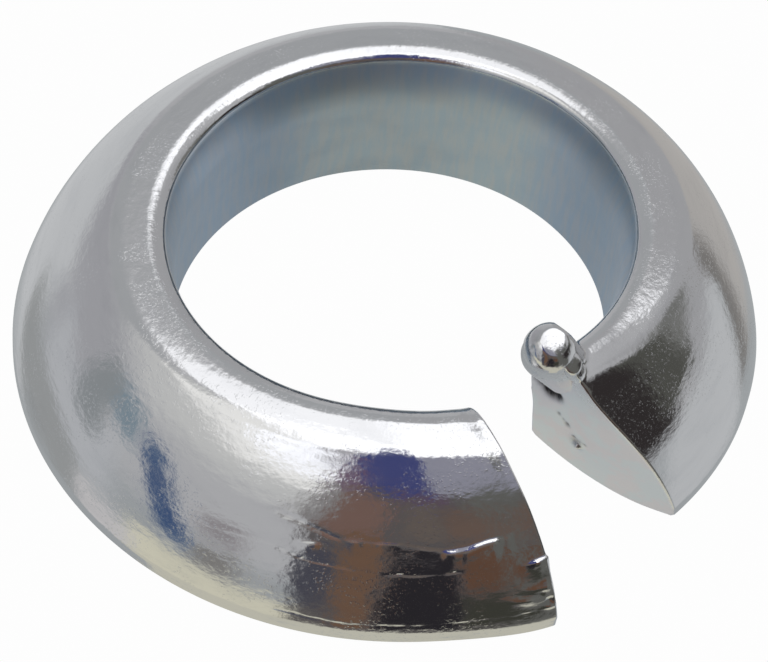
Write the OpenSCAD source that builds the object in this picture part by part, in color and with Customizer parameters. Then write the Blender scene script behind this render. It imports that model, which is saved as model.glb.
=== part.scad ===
// Conical spring washer: one turn of wedge-section wire, sheared through on a slant.
// The wire is thick at the bore and thins to an edge; its outer face is a bulged cone
// that centres in a cone seat, and the two cut ends stand at slightly different heights.
// The bore axis is Z, the foot is down, and the gap in the coil faces -Y. Units: mm.

/* [Bore] */
// Diameter of the hole that the stud passes through
bore_d = 20.5; // [12:0.5:40]
// Height of the straight wall of the hole, measured from the foot
wall_h = 4.6; // [3:0.1:5.4]
// How far the hole opens out between its straight wall and the rim
flare_w = 0.5; // [0.2:0.02:0.8]

/* [Section] */
// Width of the wedge from the bore to its outer edge, halfway round the coil
wedge_w = 7.44; // [5.5:0.02:10]
// Height of the wedge from the foot to the crown
wedge_h = 7.6; // [7.2:0.05:11]
// Radius of the rounded rim between the crown and the bore
crown_r = 0.6; // [0.3:0.05:0.8]
// Fall of the crown's land from the rim outwards, in degrees
land_a = 4; // [0:0.5:12]
// Distance from the bore to the shoulder where the land meets the cone face
land_w = 2.52; // [2:0.02:3.2]
// Radius of the shoulder between the land and the cone face
shoulder_r = 0.8; // [0.4:0.05:1.2]
// Height of the upright band round the outer edge
band_h = 0.65; // [0.4:0.05:1.5]
// Bevel under the outer edge
foot_bevel = 0.12; // [0.06:0.02:0.35]
// Bevel between the foot and the bore
bore_bevel = 0.2; // [0.1:0.05:0.8]
// How far the cone face bulges beyond a straight cone
bulge = 0.66; // [0.2:0.02:1]

/* [Coil] */
// Opening of the gap along the crown, in degrees
gap_a = 18.5; // [8:0.5:40]
// Fall of the coil for a whole turn
pitch = 4.57; // [1:0.01:6]
// How far each end is set back towards the level of the other
end_set = 1.9; // [0:0.05:2.6]
// How far both ends stand above the middle of the coil
end_bow = 1.16; // [0:0.01:2]
// Share by which the tail end is spread wider and the head end drawn narrower
end_spread = 0.097; // [0:0.001:0.2]

/* [Cut ends] */
// Slant of the head cut across the wedge, degrees round the coil for each mm outwards
head_skew = 1.29; // [0:0.01:2]
// Slant of the head cut down the wedge, degrees round the coil for each mm downwards
head_rake = 0.67; // [0:0.01:1.4]
// Slant of the tail cut across the wedge, degrees round the coil for each mm outwards
tail_skew = 1.24; // [0:0.02:2]
// Slant of the tail cut down the wedge, degrees round the coil for each mm downwards
tail_rake = -0.14; // [-0.6:0.02:1]
// Width that the shear has rolled off the foot at the head end
roll_w = 6.1; // [2:0.1:7]
// Height that the shear has rolled off the foot at the head end
roll_h = 1.5; // [0.5:0.1:2.4]
// Distance along the coil over which the rolled foot dies out
roll_run = 2.6; // [1:0.1:6]
// How far the shear has dragged the tail end down
drag = 0.66; // [0:0.02:1]
// Distance along the coil over which the dragged tail end dies out
drag_run = 3.2; // [1:0.1:6]
// How far the shear has pushed the crown up at the head end
swell = 0.3; // [0:0.05:0.6]
// Distance along the coil over which the raised crown dies out
swell_run = 3; // [1:0.1:6]
// Height nipped off the crown at the tail end
nip = 0.17; // [0:0.01:0.8]
// Distance along the coil over which the nipped crown dies out
nip_run = 0.7; // [0.5:0.1:3]

/* [Burr] */
// Radius of the bulb of metal squeezed up at the head end
burr_r = 1.15; // [0.6:0.05:1.5]
// Distance of the middle of the bulb from the bore
burr_in = 1.05; // [0.6:0.05:2]
// Height of the middle of the bulb above the crown
burr_lift = 1.3; // [0:0.05:2]
// Length of the neck that carries the bulb down into the head end
burr_neck = 2.7; // [1.5:0.1:4]
// How far the middle of the bulb hangs out over the head cut
burr_reach = 0.2; // [-0.5:0.05:1]

/* [Scores] */
// Depth of the scores rolled into the cone face near the tail end
score_d = 0.1; // [0.04:0.01:0.16]
// Width of each score
score_w = 0.28; // [0.2:0.02:0.4]

/* [Hidden] */

bore_r = bore_d/2;
half_turn = (360 - gap_a)/2;      // degrees from the middle of the coil to either end
tuck = 1;                         // metal inside the bore that the drill takes away
slices = 112;                     // rings of the sweep
flank_n = 11;                     // points up the cone face
shoulder_n = 3;                   // points round the shoulder
crown_n = 6;                      // points round the rim
foot_n = 4;                       // points across the rolled part of the foot

// Crown: a round rim above the bore, then a land that falls a little to the shoulder.
rim_c = [flare_w + crown_r, wedge_h - crown_r];
land_end = [land_w, rim_c[1] + (crown_r - shoulder_r)/cos(land_a) - (land_w - rim_c[0])*tan(land_a)];
turn_a = 38;                      // slope of the cone face at the shoulder
crown_end = land_end + shoulder_r*[sin(turn_a), cos(turn_a)];

// Cone face: an arc from the shoulder to the top of the outer band, bulge above its chord.
edge_top = [wedge_w, band_h];
chord = edge_top - crown_end;
chord_l = norm(chord);
arc_r = (chord_l*chord_l/4 + bulge*bulge)/(2*bulge);
arc_half = asin(chord_l/2/arc_r);
arc_out = [-chord[1], chord[0]]/chord_l;
arc_c = (crown_end + edge_top)/2 - arc_out*(arc_r - bulge);
arc_mid = atan2(arc_out[1], arc_out[0]);

// Scores: [place up the cone face as a share, first and last place along the coil, depth].
// Along the coil, -1 is the head end and 1 the tail end.
scores = [[0.09, 0.84, 1.02, 0.7], [0.33, 0.85, 0.98, 1.0], [0.46, 0.84, 1.02, 1.3]];
score_at = [for (s = scores) arc_mid - arc_half + 2*arc_half*s[0]];
score_half = score_w/2/arc_r*180/PI;
plain_at = [for (i = [0:flank_n]) arc_mid - arc_half + 2*arc_half*i/flank_n];
flank_at = sort(concat(plain_at, [for (g = score_at, k = [-1, 0, 1]) g + k*score_half]));

function sort(v) = len(v) < 2 ? v :
    let (m = v[floor(len(v)/2)])
    concat(sort([for (x = v) if (x < m) x]), [for (x = v) if (x == m) x],
           sort([for (x = v) if (x > m) x]));
function on_coil(a) = (a - 90)/half_turn;
function die(s, run) = exp(-pow(s/run, 2));
function fade(u, a, b) = max(0, min(1, (u - a)/0.03))*max(0, min(1, (b - u)/0.03));
function cut_depth(g, u) = sum([for (k = [0:len(scores) - 1])
    abs(g - score_at[k]) < 0.001 ? score_d*scores[k][3]*fade(u, scores[k][1], scores[k][2]) : 0]);
function sum(v, i = 0) = i >= len(v) ? 0 : v[i] + sum(v, i + 1);

// Height of the coil at place u, and the width of the wedge there.
function level(u) = -pitch*half_turn*u/360 + end_set*u*u*u + end_bow*(u*u - 1/3);
function spread(u) = 1 + end_spread*u*u*u;

// Section at place u, as [out from the bore, up from the foot], s mm from the head cut.
function section(u, s) =
    let (roll = roll_h*die(s, roll_run))
    concat(
        [[-tuck, bore_bevel + roll + tuck]],
        [for (k = [0:foot_n]) let (x = bore_bevel + (roll_w - bore_bevel)*k/foot_n)
            [x, roll*pow(1 - k/foot_n, 1.5)]],
        [[wedge_w - foot_bevel, 0], [wedge_w, foot_bevel]],
        [for (g = flank_at) arc_c + (arc_r - cut_depth(g, u))*[cos(g), sin(g)]],
        [for (i = [1:shoulder_n]) let (g = turn_a + i*(land_a - turn_a)/shoulder_n)
            land_end + shoulder_r*[sin(g), cos(g)]],
        [for (i = [0:crown_n]) let (g = land_a - i*(land_a + 90)/crown_n)
            rim_c + crown_r*[sin(g), cos(g)]],
        [[0.05, wall_h + 0.05], [-tuck, wall_h - tuck]]);

// Start and end angles of the sweep for one point of the section.
function head_a(p) = 90 - half_turn + head_skew*p[0] + head_rake*(wedge_h - p[1]);
function tail_a(p) = 90 + half_turn + tail_skew*p[0] + tail_rake*(wedge_h - p[1]);
// Angle that takes up a given length along the coil, at one point of the section.
function out_a(p, l) = l/(bore_r + p[0])*180/PI;
function place(p, a) =
    let (u = on_coil(a), r = bore_r + p[0]*(p[0] > 0 ? spread(u) : 1))
    [r*cos(a), r*sin(a), p[1] + level(u)];
// Slices crowd towards the two ends, where the form changes most.
function along(i) = 0.7*i/slices + 0.15*(1 - cos(180*i/slices));
function ring(i) =
    let (base = section(0, 1000), cut = section(0, 0))
    [for (j = [0:len(base) - 1])
        let (a0 = head_a(cut[j]), a1 = tail_a(base[j]), a = a0 + (a1 - a0)*along(i),
             s = (a - a0)/out_a(base[j], 1), t = (a1 - a)/out_a(base[j], 1),
             high = pow(max(0, base[j][1] - wall_h)/(wedge_h - wall_h), 2),
             rise = swell*high*die(s, swell_run) - nip*high*die(t, nip_run) - drag*die(t, drag_run))
        place(section(on_coil(a), s)[j] + [0, rise], a)];

// Sweep of the section from the head cut to the tail cut, closed by a fan at each end.
module coil() {
    m = len(section(0, 1000));
    rings = [for (i = [0:slices]) ring(i)];
    mid = [wedge_w*0.38, wedge_h*0.4];
    caps = [place(mid, head_a(mid)), place(mid - [0, drag], tail_a(mid))];
    points = concat([for (r = rings, p = r) p], caps);
    sides = [for (i = [0:slices - 1], j = [0:m - 1])
        let (a = i*m + j, b = i*m + (j + 1)%m, c = a + m, d = b + m)
        each [[a, d, c], [a, b, d]]];
    head = [for (j = [0:m - 1]) [(slices + 1)*m, (j + 1)%m, j]];
    tail = [for (j = [0:m - 1]) [(slices + 1)*m + 1, slices*m + j, slices*m + (j + 1)%m]];
    polyhedron(points, concat(sides, head, tail), convexity = 6);
}

// Bulb of metal squeezed up and over the head cut, with its root in the crown.
module burr() {
    top = [burr_in, wedge_h + burr_lift];
    root = [0.85*burr_in, wedge_h + burr_lift - burr_neck];
    root_r = 0.85*burr_r;
    hull() {
        translate(place(top, head_a(top) - out_a(top, burr_reach))) sphere(burr_r, $fn = 28);
        translate(place(root, head_a(root) + out_a(root, 0.85*root_r))) sphere(root_r, $fn = 28);
    }
}

module spring_washer() {
    color([0.72, 0.74, 0.77])
    {
        difference() {
            coil();
            translate([0, 0, -wedge_h]) cylinder(h = 3*wedge_h, r = bore_r, $fn = 120);
        }
        burr();
    }
}

spring_washer();
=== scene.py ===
import logging
import math
from dataclasses import dataclass
from enum import Enum

import bmesh
import bpy
import numpy as np
from mathutils import Matrix, Vector, noise


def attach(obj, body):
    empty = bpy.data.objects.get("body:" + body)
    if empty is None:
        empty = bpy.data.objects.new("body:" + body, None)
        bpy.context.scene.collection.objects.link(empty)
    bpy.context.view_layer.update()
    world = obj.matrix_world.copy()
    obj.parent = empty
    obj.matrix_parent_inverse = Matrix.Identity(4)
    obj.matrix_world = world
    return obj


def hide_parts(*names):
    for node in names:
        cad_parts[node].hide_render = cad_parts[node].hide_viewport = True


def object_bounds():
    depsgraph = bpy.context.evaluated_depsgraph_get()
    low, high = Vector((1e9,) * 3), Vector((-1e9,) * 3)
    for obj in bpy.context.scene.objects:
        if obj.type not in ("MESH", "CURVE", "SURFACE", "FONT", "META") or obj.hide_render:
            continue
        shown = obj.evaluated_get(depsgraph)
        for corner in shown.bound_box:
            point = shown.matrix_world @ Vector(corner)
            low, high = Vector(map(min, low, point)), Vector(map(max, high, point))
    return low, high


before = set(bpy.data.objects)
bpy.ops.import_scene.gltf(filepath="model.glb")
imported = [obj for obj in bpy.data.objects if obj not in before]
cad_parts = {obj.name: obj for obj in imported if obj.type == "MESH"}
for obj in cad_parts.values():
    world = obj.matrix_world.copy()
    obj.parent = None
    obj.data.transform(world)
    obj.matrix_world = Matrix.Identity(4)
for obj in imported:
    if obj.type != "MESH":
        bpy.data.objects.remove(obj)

CAD_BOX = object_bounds()
MM = 0.001
log = logging.getLogger("spring_washer")


# --------------------------------------------------------------------------- shader expressions


class Signal:
    """A number on a node socket, which arithmetic turns into Math nodes."""

    def __init__(self, graph: "Graph", socket: bpy.types.NodeSocket) -> None:
        """Wraps one output socket of a graph."""
        self.graph = graph
        self.socket = socket

    def _math(self, operation: str, *values: object) -> "Signal":
        """Adds a Math node.

        Args:
            operation: The Math node's operation.
            values: Its inputs in order, as signals or numbers.

        Returns:
            The node's result.
        """
        inputs = dict(enumerate(values))
        return self.graph.signal("ShaderNodeMath", 0, {"operation": operation}, inputs)

    def __add__(self, other: object) -> "Signal":
        """Sum."""
        return self._math("ADD", self, other)

    def __radd__(self, other: object) -> "Signal":
        """Sum, with the number first."""
        return self._math("ADD", other, self)

    def __sub__(self, other: object) -> "Signal":
        """Difference."""
        return self._math("SUBTRACT", self, other)

    def __rsub__(self, other: object) -> "Signal":
        """Difference, with the number first."""
        return self._math("SUBTRACT", other, self)

    def __mul__(self, other: object) -> "Signal":
        """Product."""
        return self._math("MULTIPLY", self, other)

    def __rmul__(self, other: object) -> "Signal":
        """Product, with the number first."""
        return self._math("MULTIPLY", other, self)

    def greatest(self, other: object) -> "Signal":
        """The larger of two values."""
        return self._math("MAXIMUM", self, other)

    def angle_of(self, other: "Signal") -> "Signal":
        """Angle in degrees whose tangent is self over other."""
        return self._math("ARCTAN2", self, other) * math.degrees(1)

    def arcsine(self) -> "Signal":
        """Angle in degrees whose sine this is."""
        return self._math("ARCSINE", self) * math.degrees(1)

    def step(self, low: float, high: float) -> "Signal":
        """Smooth step.

        Args:
            low: Value at which the step starts from 0.
            high: Value at which it reaches 1.

        Returns:
            A signal from 0 to 1.
        """
        settings = {"interpolation_type": "SMOOTHSTEP"}
        inputs = {"Value": self, "From Min": low, "From Max": high}
        return self.graph.signal("ShaderNodeMapRange", "Result", settings, inputs)

    def band(self, low: float, high: float, soft: float) -> "Signal":
        """Is 1 between two values and 0 outside them, with soft ends."""
        return self.step(low - soft, low + soft) * (1 - self.step(high - soft, high + soft))


class Graph:
    """A node tree, emptied, that is filled by expressions."""

    def __init__(self, tree: bpy.types.NodeTree) -> None:
        """Takes over a material's or world's node tree."""
        self.tree = tree
        tree.nodes.clear()

    def node(self, kind: str, settings: dict, inputs: dict) -> bpy.types.Node:
        """Adds a node.

        Args:
            kind: The node's type.
            settings: Its own settings, which are set first.
            inputs: Values or links of its sockets, by name or number.

        Returns:
            The new node.
        """
        node = self.tree.nodes.new(kind)
        for name, value in settings.items():
            setattr(node, name, value)
        for name, value in inputs.items():
            self.feed(node.inputs[name], value)
        return node

    def feed(self, socket: bpy.types.NodeSocket, value: object) -> None:
        """Gives a node's socket its value.

        Args:
            socket: The socket that is fed.
            value: A signal or socket that is linked, or a value that is set.
        """
        if isinstance(value, Signal):
            value = value.socket
        if isinstance(value, bpy.types.NodeSocket):
            self.tree.links.new(value, socket)
        else:
            socket.default_value = value

    def signal(self, kind: str, output: object, settings: dict, inputs: dict) -> Signal:
        """Adds a node and wraps one of its outputs."""
        return Signal(self, self.node(kind, settings, inputs).outputs[output])

    def mix(self, share: object, first: object, second: object) -> bpy.types.NodeSocket:
        """Mixes two colours.

        Args:
            share: How much of the second there is, from 0 to 1.
            first: Colour or socket.
            second: Colour or socket.

        Returns:
            The mixed colour's socket.
        """
        inputs = {0: share, 6: first, 7: second}
        settings = {"data_type": "RGBA", "clamp_factor": True}
        return self.node("ShaderNodeMix", settings, inputs).outputs[2]

    def stretched(self, vector: object, scale: tuple[float, float, float]) -> bpy.types.NodeSocket:
        """Scales a vector axis by axis."""
        settings = {"operation": "MULTIPLY"}
        return self.node("ShaderNodeVectorMath", settings, {0: vector, 1: scale}).outputs[0]

    def grain(self, vector: object, scale: float, detail: float = 2.0, rough: float = 0.5) -> Signal:
        """Fractal noise from 0 to 1.

        Args:
            vector: Coordinates in millimetres.
            scale: Features per millimetre.
            detail: Octaves.
            rough: Strength of the finer octaves.

        Returns:
            The noise.
        """
        inputs = {"Vector": vector, "Scale": scale, "Detail": detail, "Roughness": rough}
        return self.signal("ShaderNodeTexNoise", 0, {"noise_dimensions": "3D"}, inputs)


# --------------------------------------------------------------------------- shapes of falls and noises


def die(distance: np.ndarray, run: float) -> np.ndarray:
    """Falls smoothly from 1 at no distance to 0 well beyond the run."""
    return np.exp(-((distance / run) ** 2))


def smooth(value: np.ndarray, low: float, high: float) -> np.ndarray:
    """Smooth step from 0 at low to 1 at high."""
    share = np.clip((value - low) / (high - low), 0, 1)
    return share * share * (3 - 2 * share)


def grain(points: np.ndarray, scale: float, seed: float = 0.0) -> np.ndarray:
    """Even noise at points, from about -1 to 1.

    Args:
        points: Points in millimetres.
        scale: Features per millimetre.
        seed: Shift that gives another pattern.

    Returns:
        The noise.
    """
    return np.array([noise.noise(Vector(p) * scale + Vector((seed, seed, seed))) for p in points])


def crowded(weight: np.ndarray) -> np.ndarray:
    """Steps from 0 to 1 that are shorter where the weight is greater.

    Args:
        weight: How crowded the steps are, at even places from 0 to 1.

    Returns:
        As many places as there are weights.
    """
    even = np.linspace(0, 1, len(weight))
    total = np.concatenate([[0], np.cumsum((weight[1:] + weight[:-1]) / 2)])
    return np.interp(np.linspace(0, total[-1], len(even)), total, even)


# --------------------------------------------------------------------------- the coil's form


class Skin(Enum):
    """Stretches of the washer's skin, by the name of the mesh attribute that marks each."""

    BORE = "bore_wall"
    CUT = "cut_face"
    # painted highlights
    SHINE = "score"
    # painted shadow and shade at the burr, with the darker pits
    SHADE_AND_PIT = "pit"


@dataclass(frozen=True)
class Sizes:
    """Sizes of the washer in millimetres and degrees.

    They are those of the part's own source, but for a land that is narrower by what the wider
    rounding of the shoulder takes up.
    """

    bore_r: float = 10.25
    wall_h: float = 4.6
    flare_w: float = 0.5
    wedge_w: float = 7.44
    wedge_h: float = 7.6
    rim_r: float = 0.6
    land_slope: float = 4.0
    land_w: float = 2.22
    shoulder_r: float = 1.6
    cone_top: float = 38.0
    band_h: float = 0.65
    foot_bevel: float = 0.12
    bore_bevel: float = 0.2
    bulge: float = 0.66
    gap: float = 18.5
    pitch: float = 4.57
    end_set: float = 1.9
    end_bow: float = 1.16
    end_spread: float = 0.097
    head_skew: float = 1.29
    head_rake: float = 0.67
    tail_skew: float = 1.24
    tail_rake: float = -0.14
    roll_w: float = 6.1
    roll_h: float = 1.5
    roll_run: float = 2.6
    drag: float = 0.66
    drag_run: float = 3.2
    swell: float = 0.3
    swell_run: float = 3.0
    nip: float = 0.17
    nip_run: float = 0.7

    @property
    def half_turn(self) -> float:
        """Degrees from the middle of the coil to either end."""
        return (360 - self.gap) / 2


@dataclass
class Coil:
    """The swept wedge: its section, its rise and its two slanted cuts.

    nose is the rim's width and height; the steps are lengths between points of the section. Where
    points crowd, crowds lists [share up the cone face, width], head_crowd is [how much, share of the
    turn] and tail_crowd is [how much, where it starts, over what share of the turn]. hub is the
    middle of both cut faces, as shares of the section's width and height.
    """

    sizes: Sizes
    nose: tuple[float, float] = (0.8, 0.42)
    roll_curve: float = 1.5
    edge_round: float = 0.09
    foot_step: float = 0.36
    band_step: float = 0.11
    flank_step: float = 0.098
    crown_step: float = 0.09
    nose_step: float = 0.072
    bore_step: float = 0.17
    slices: int = 390
    crowding: float = 1.4
    crowds: tuple[tuple[float, float], ...] = ((0.07, 0.03), (0.39, 0.04), (0.55, 0.06))
    head_crowd: tuple[float, float] = (1.5, 0.05)
    tail_crowd: tuple[float, float, float] = (1.6, 0.84, 0.05)
    hub: tuple[float, float] = (0.36, 0.42)
    head_rings: int = 44
    tail_rings: int = 12
    ring_crowd: float = 1.15
    mean_radius: float = 13.0

    def rim_centre(self) -> np.ndarray:
        """Middle of the rim's rounding in the section."""
        z = self.sizes
        return np.array([z.flare_w + z.rim_r, z.wedge_h - z.rim_r])

    def shoulder_centre(self) -> np.ndarray:
        """Middle of the shoulder's rounding in the section.

        Returns:
            Its distance out from the bore and its height.
        """
        z = self.sizes
        rim, slope = self.rim_centre(), math.radians(z.land_slope)
        fall = (z.land_w - rim[0]) * math.tan(slope) - (z.rim_r - z.shoulder_r) / math.cos(slope)
        return np.array([z.land_w, rim[1] - fall])

    def flank_arc(self) -> tuple[np.ndarray, float, float, float]:
        """Works out the arc of the cone face in the section.

        Returns:
            Centre, radius, angle of its middle and half of its angle, in radians.
        """
        z = self.sizes
        turn = math.radians(z.cone_top)
        top = self.shoulder_centre() + z.shoulder_r * np.array([math.sin(turn), math.cos(turn)])
        edge = np.array([z.wedge_w, z.band_h])
        chord = edge - top
        length = float(np.hypot(*chord))
        radius = (length**2 / 4 + z.bulge**2) / (2 * z.bulge)
        out = np.array([-chord[1], chord[0]]) / length
        centre = (top + edge) / 2 - out * (radius - z.bulge)
        return centre, radius, math.atan2(out[1], out[0]), math.asin(length / 2 / radius)

    def flank_share(self, x: np.ndarray, y: np.ndarray) -> np.ndarray:
        """How far up the cone face a point of the section is, from 0 at the outer band to 1."""
        centre, _, facing, half = self.flank_arc()
        return (np.arctan2(y - centre[1], x - centre[0]) - facing + half) / (2 * half)

    def flank_places(self, length: float) -> np.ndarray:
        """Shares up the cone face, crowded where the scores run along it."""
        even = np.linspace(0, 1, round(length / self.flank_step) + 1)
        return crowded(1 + self.crowding * sum(die(even - at, width) for at, width in self.crowds))

    def outline(self) -> np.ndarray:
        """Works out the section's outline.

        Returns:
            Rows of [out from the bore, up from the foot, share of the rolled foot].
        """
        z = self.sizes
        shoulder = self.shoulder_centre()
        slope, steep = math.radians(z.land_slope), math.radians(z.cone_top)
        middle, radius, facing, half = self.flank_arc()
        length = 2 * radius * math.sin(half)

        def spread(size: float, step: float) -> np.ndarray:
            """Even shares from 0 to 1 that step along a size."""
            return np.linspace(0, 1, max(2, round(size / step) + 1))

        foot = spread(z.wedge_w, self.foot_step)
        foot_x = z.bore_bevel + (z.wedge_w - z.foot_bevel - z.bore_bevel) * foot
        rolled = np.clip((z.roll_w - foot_x) / (z.roll_w - z.bore_bevel), 0, 1) ** self.roll_curve
        band = z.foot_bevel + (z.band_h - z.foot_bevel) * spread(z.band_h, self.band_step)
        flank = facing - half + 2 * half * self.flank_places(length)
        flank_x, flank_y = middle[0] + radius * np.cos(flank), middle[1] + radius * np.sin(flank)
        bend = steep + (slope - steep) * spread(z.shoulder_r * (steep - slope), self.crown_step)
        bend_x = shoulder[0] + z.shoulder_r * np.sin(bend)
        bend_y = shoulder[1] + z.shoulder_r * np.cos(bend)
        # the rim's nose is a flattened arc, wider than it is high
        wide, high = self.nose
        start = math.atan(math.tan(slope) * wide / high)
        arc = start + math.pi / 2
        nose = start - arc * spread(wide * arc, self.nose_step)
        nose_x = z.flare_w + wide + wide * np.sin(nose)
        level = bend_y[-1] + (bend_x[-1] - nose_x[0]) * math.tan(slope)
        nose_y = level + high * (np.cos(nose) - math.cos(start))
        land = spread(bend_x[-1] - nose_x[0], self.crown_step)
        land_x = bend_x[-1] + (nose_x[0] - bend_x[-1]) * land
        land_y = bend_y[-1] + (nose_y[0] - bend_y[-1]) * land
        throat = spread(nose_y[-1] - z.wall_h, self.bore_step)
        throat_y = nose_y[-1] + (z.wall_h - nose_y[-1]) * throat
        wall = spread(z.wall_h, self.bore_step)
        rows = [
            np.stack([foot_x, 0 * foot, rolled], -1),
            np.stack([0 * band + z.wedge_w, band, 0 * band], -1),
            np.stack([flank_x, flank_y, 0 * flank], -1)[1:],
            np.stack([bend_x, bend_y, 0 * bend], -1)[1:],
            np.stack([land_x, land_y, 0 * land], -1)[1:],
            np.stack([nose_x, nose_y, 0 * nose], -1)[1:],
            np.stack([z.flare_w * (1 - throat) ** 2, throat_y, 0 * throat], -1)[1:],
            np.stack([0 * wall, z.wall_h + (z.bore_bevel - z.wall_h) * wall, wall], -1)[1:],
        ]
        return np.concatenate(rows)

    def head_angle(self, x: np.ndarray, y: np.ndarray) -> np.ndarray:
        """Angle of the head cut at a point of the section."""
        z = self.sizes
        return 90 - z.half_turn + z.head_skew * x + z.head_rake * (z.wedge_h - y)

    def tail_angle(self, x: np.ndarray, y: np.ndarray) -> np.ndarray:
        """Angle of the tail cut at a point of the section."""
        z = self.sizes
        return 90 + z.half_turn + z.tail_skew * x + z.tail_rake * (z.wedge_h - y)

    def level(self, u: np.ndarray) -> np.ndarray:
        """Height of the coil at place u, from -1 at the head to 1 at the tail."""
        z = self.sizes
        return -z.pitch * z.half_turn * u / 360 + z.end_set * u**3 + z.end_bow * (u * u - 1 / 3)

    @staticmethod
    def sag(x: np.ndarray, y: np.ndarray, s: np.ndarray) -> np.ndarray:
        """How far the shear has dragged the shoulder down at the head, beside the burr.

        Args:
            x: Distance out from the bore.
            y: Height in the section.
            s: Distance from the head cut.

        Returns:
            Fall in millimetres.
        """
        deepest, fall, inwards, outwards, run = 3.4, 0.49, 0.95, 1.9, 4.6
        off = x - deepest
        across = np.where(off < 0, die(off, inwards), die(off, outwards))
        return fall * across * die(np.maximum(s, 0), run) * smooth(y, 1.0, 5.0)

    @staticmethod
    def slump(x: np.ndarray, u: np.ndarray) -> np.ndarray:
        """How much rounder the crown is towards the tail, raised by the bore and lowered outside.

        Args:
            x: Distance out from the bore.
            u: Place along the coil.

        Returns:
            Fall in millimetres.
        """
        places = (0.5, 0.8, 1.2, 1.6, 2.0, 2.4, 2.8, 3.2, 3.8, 4.5, 5.2)
        falls = (0.0, -0.04, -0.11, -0.14, -0.09, 0.02, 0.10, 0.13, 0.10, 0.04, 0.0)
        return np.interp(x, places, falls) * smooth(u, 0.45, 0.8)

    @staticmethod
    def pinch(x: np.ndarray, y: np.ndarray, s: np.ndarray) -> np.ndarray:
        """How far the shear has squeezed the bore's wall inwards at the head, below the burr.

        Args:
            x: Distance out from the bore.
            y: Height in the section.
            s: Distance from the head cut.

        Returns:
            Shift towards the axis in millimetres.
        """
        low, more, run, wall = 0.04, 0.46, 0.7, 1.1
        shift = (low + more * smooth(y, 3.6, 6.4)) * die(s, run) * (1 - smooth(x, 0.0, wall))
        return shift * smooth(y, 1.2, 3.0) * (1 - smooth(y, 7.0, 8.2))

    def rise(self, y: np.ndarray, s: np.ndarray, t: np.ndarray) -> np.ndarray:
        """How far the shear has lifted the metal near the two cuts.

        Args:
            y: Height in the section.
            s: Distance from the head cut.
            t: Distance from the tail cut.

        Returns:
            Lift in millimetres.
        """
        z = self.sizes
        high = (np.maximum(0, y - z.wall_h) / (z.wedge_h - z.wall_h)) ** 2
        lifted = z.swell * high * die(s, z.swell_run) - z.nip * high * die(t, z.nip_run)
        return lifted - z.drag * die(t, z.drag_run)

    def place(self, x: np.ndarray, y: np.ndarray, angle: np.ndarray) -> np.ndarray:
        """Puts points of the section at angles round the coil.

        Args:
            x: Distance out from the bore.
            y: Height in the section.
            angle: Angle round the bore in degrees.

        Returns:
            Points in millimetres.
        """
        z = self.sizes
        u = (angle - 90) / z.half_turn
        r = z.bore_r + x * (1 + z.end_spread * u**3)
        a = np.radians(angle)
        return np.stack([r * np.cos(a), r * np.sin(a), y + self.level(u)], -1)

    def slice_places(self) -> np.ndarray:
        """Spaces the slices from the head to the tail, crowded near both cuts.

        Returns:
            Rising places, the first 0 and the last 1.
        """
        even = np.linspace(0, 1, self.slices)
        more_head, run = self.head_crowd
        more_tail, start, over = self.tail_crowd
        return crowded(1 + more_head * die(even, run) + more_tail * np.clip((even - start) / over, 0, 1))

    def mesh(self) -> tuple[np.ndarray, list[tuple[int, ...]]]:
        """Sweeps the section and closes both cuts.

        Returns:
            Points in millimetres, and faces as point numbers.
        """
        z = self.sizes
        line = self.outline()
        x, y0, share = line.T
        cut_y = y0 + share * z.roll_h
        head, tail = self.head_angle(x, cut_y), self.tail_angle(x, y0)
        along = self.slice_places()[:, None]
        angle = head + (tail - head) * along
        per_mm = np.degrees(1 / (z.bore_r + x))
        # the two end slices stand back by the rounding of the cut's edge
        angle = np.clip(angle, head + self.edge_round * per_mm, tail - self.edge_round * per_mm)
        s, t = (angle - head) / per_mm, (tail - angle) / per_mm
        y = y0 + share * z.roll_h * die(s, z.roll_run)
        skin = self.place(x, y + self.rise(y0, s, t), angle)
        points = [skin.reshape(-1, 3)]
        faces = []
        count = len(line)
        for i in range(len(skin) - 1):
            for j in range(count):
                k = (j + 1) % count
                faces.append((i * count + j, i * count + k, (i + 1) * count + k, (i + 1) * count + j))
        self._close(points, faces, 0, x, cut_y, y0, head, self.head_rings, True)
        self._close(points, faces, (len(skin) - 1) * count, x, y0, y0, tail, self.tail_rings, False)
        return np.concatenate(points), faces

    def _close(self, points: list, faces: list, first: int, x: np.ndarray, y: np.ndarray,
               y0: np.ndarray, cut: np.ndarray, rings: int, is_head: bool) -> None:
        """Closes one cut with rings that shrink towards the middle of the section.

        Args:
            points: Lists of points so far, which grow.
            faces: Faces so far, which grow.
            first: Number of the first point of the end slice.
            x: Outline, out from the bore.
            y: Outline, up from the foot, as the cut has it.
            y0: Outline, up from the foot, away from the cut; not used.
            cut: Angle of the cut at each point of the outline; not used.
            rings: How many rings there are.
            is_head: Whether this is the head's cut.
        """
        z = self.sizes
        middle = np.array([z.wedge_w, z.wedge_h]) * self.hub
        reach = np.hypot(x - middle[0], y - middle[1])
        total = sum(len(p) for p in points)
        count = len(x)
        last = first
        zero, far = np.zeros(1), np.full(1, 1e3)
        sign = 1 if is_head else -1
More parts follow.
